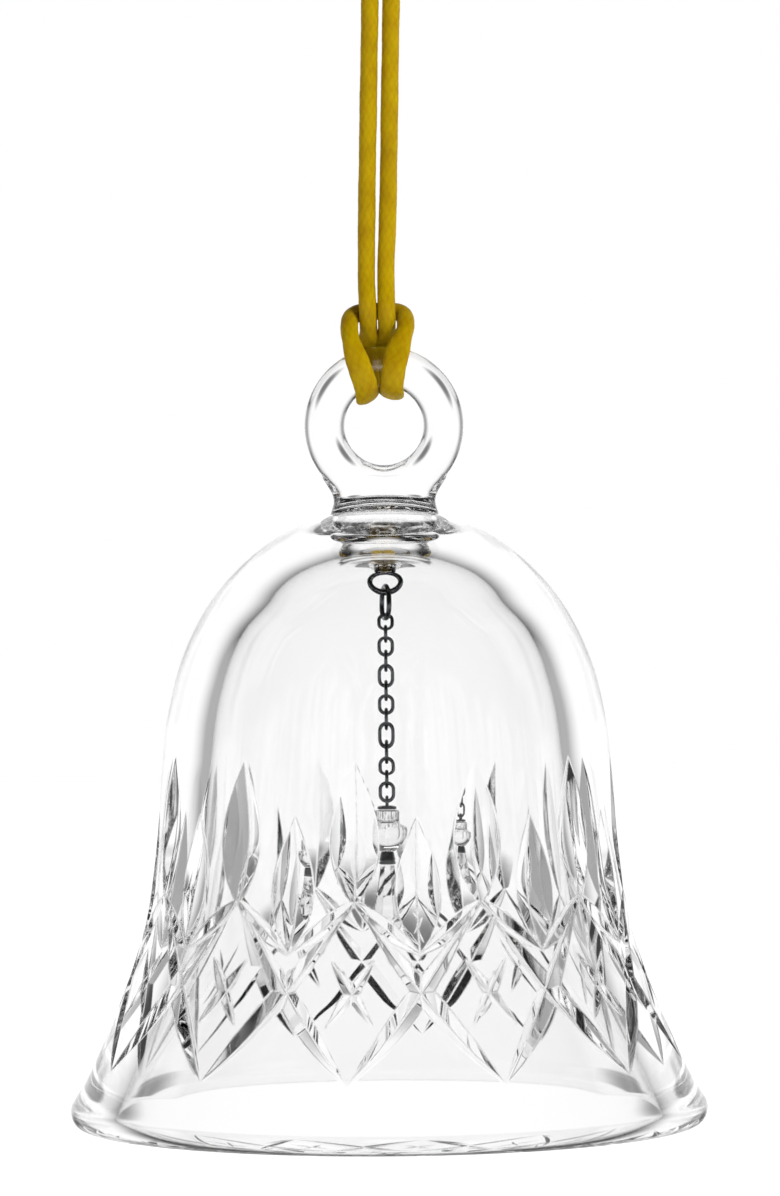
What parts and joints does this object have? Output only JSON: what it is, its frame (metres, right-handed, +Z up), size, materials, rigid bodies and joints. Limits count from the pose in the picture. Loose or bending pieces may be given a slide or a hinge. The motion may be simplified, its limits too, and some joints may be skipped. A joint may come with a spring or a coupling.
{
  "type": "glass bell",
  "caption": "Cut-glass hand bell with a ring handle, hung from a looped cotton cord, with a crystal clapper on a fine chain inside.",
  "frame": {"origin": "hang point: the middle of the knot that closes the cord's loop", "axes": "+Z up along the bell's axis and the cord; -Y is the front, which faces the ring's open face; +X to the right of the front"},
  "size_m": [0.072, 0.072, 0.1431],
  "materials": {
    "crystal_glass": "clear polished lead-free crystal with wheel-cut grooves",
    "clear_adhesive": "clear cured adhesive",
    "polished_metal": "bright plated",
    "satin_metal": "satin",
    "cotton_cord": "mustard yellow waxed braided cotton"
  },
  "bodies": {
    "cord": {"cord": "cotton_cord", "cord_knot": "cotton_cord"},
    "bell": {"bell_shell": "crystal_glass", "hanging_ring": "crystal_glass", "adhesive_disc": "clear_adhesive", "eye_peg": "polished_metal"},
    "jump_ring": {"jump_ring": "polished_metal"},
    "chain_link_01": {"chain_link_01": "polished_metal"},
    "chain_link_02": {"chain_link_02": "polished_metal"},
    "chain_link_03": {"chain_link_03": "polished_metal"},
    "chain_link_04": {"chain_link_04": "polished_metal"},
    "chain_link_05": {"chain_link_05": "polished_metal"},
    "chain_link_06": {"chain_link_06": "polished_metal"},
    "chain_link_07": {"chain_link_07": "polished_metal"},
    "chain_link_08": {"chain_link_08": "polished_metal"},
    "chain_link_09": {"chain_link_09": "polished_metal"},
    "chain_link_10": {"chain_link_10": "polished_metal"},
    "chain_link_11": {"chain_link_11": "polished_metal"},
    "chain_link_12": {"chain_link_12": "polished_metal"},
    "chain_link_13": {"chain_link_13": "polished_metal"},
    "clapper": {"clapper_eye": "polished_metal", "clapper_bulb": "crystal_glass", "clapper_ferrule": "satin_metal", "clapper_drop": "crystal_glass"}
  },
  "joints": [
    {"name": "bell_swing", "type": "hinge", "parent": "cord", "child": "bell", "pos_m": [0, 0, -0.04774], "axis": [1, 0, 0], "range_deg": [-15, 15]},
    {"name": "clapper_swing_fore_aft", "type": "hinge", "parent": "bell", "child": "jump_ring", "pos_m": [0, 0, -0.07386], "axis": [1, 0, 0], "range_deg": [-12, 12]},
    {"name": "clapper_swing_side", "type": "hinge", "parent": "jump_ring", "child": "chain_link_01", "pos_m": [0, 0, -0.07641], "axis": [-0.2588, 0.9659, 0], "range_deg": [-12, 12]},
    {"name": "link_02_hinge", "type": "hinge", "parent": "chain_link_01", "child": "chain_link_02", "pos_m": [0, 0, -0.07793], "axis": [1, 0, 0], "range_deg": [-1.5, 1.5]},
    {"name": "link_03_hinge", "type": "hinge", "parent": "chain_link_02", "child": "chain_link_03", "pos_m": [0, 0, -0.07953], "axis": [0, 1, 0], "range_deg": [-1.5, 1.5]},
    {"name": "link_04_hinge", "type": "hinge", "parent": "chain_link_03", "child": "chain_link_04", "pos_m": [0, 0, -0.08113], "axis": [1, 0, 0], "range_deg": [-1.5, 1.5]},
    {"name": "link_05_hinge", "type": "hinge", "parent": "chain_link_04", "child": "chain_link_05", "pos_m": [0, 0, -0.08273], "axis": [0, 1, 0], "range_deg": [-1.5, 1.5]},
    {"name": "link_06_hinge", "type": "hinge", "parent": "chain_link_05", "child": "chain_link_06", "pos_m": [0, 0, -0.08433], "axis": [1, 0, 0], "range_deg": [-1.5, 1.5]},
    {"name": "link_07_hinge", "type": "hinge", "parent": "chain_link_06", "child": "chain_link_07", "pos_m": [0, 0, -0.08593], "axis": [0, 1, 0], "range_deg": [-1.5, 1.5]},
    {"name": "link_08_hinge", "type": "hinge", "parent": "chain_link_07", "child": "chain_link_08", "pos_m": [0, 0, -0.08753], "axis": [1, 0, 0], "range_deg": [-1.5, 1.5]},
    {"name": "link_09_hinge", "type": "hinge", "parent": "chain_link_08", "child": "chain_link_09", "pos_m": [0, 0, -0.08913], "axis": [0, 1, 0], "range_deg": [-1.5, 1.5]},
    {"name": "link_10_hinge", "type": "hinge", "parent": "chain_link_09", "child": "chain_link_10", "pos_m": [0, 0, -0.09073], "axis": [1, 0, 0], "range_deg": [-1.5, 1.5]},
    {"name": "link_11_hinge", "type": "hinge", "parent": "chain_link_10", "child": "chain_link_11", "pos_m": [0, 0, -0.09233], "axis": [0, 1, 0], "range_deg": [-1.5, 1.5]},
    {"name": "link_12_hinge", "type": "hinge", "parent": "chain_link_11", "child": "chain_link_12", "pos_m": [0, 0, -0.09393], "axis": [1, 0, 0], "range_deg": [-1.5, 1.5]},
    {"name": "link_13_hinge", "type": "hinge", "parent": "chain_link_12", "child": "chain_link_13", "pos_m": [0, 0, -0.09553], "axis": [0, 1, 0], "range_deg": [-1.5, 1.5]},
    {"name": "clapper_tilt", "type": "hinge", "parent": "chain_link_13", "child": "clapper", "pos_m": [0, 0, -0.09713], "axis": [1, 0, 0], "range_deg": [-9, 9]}
  ]
}
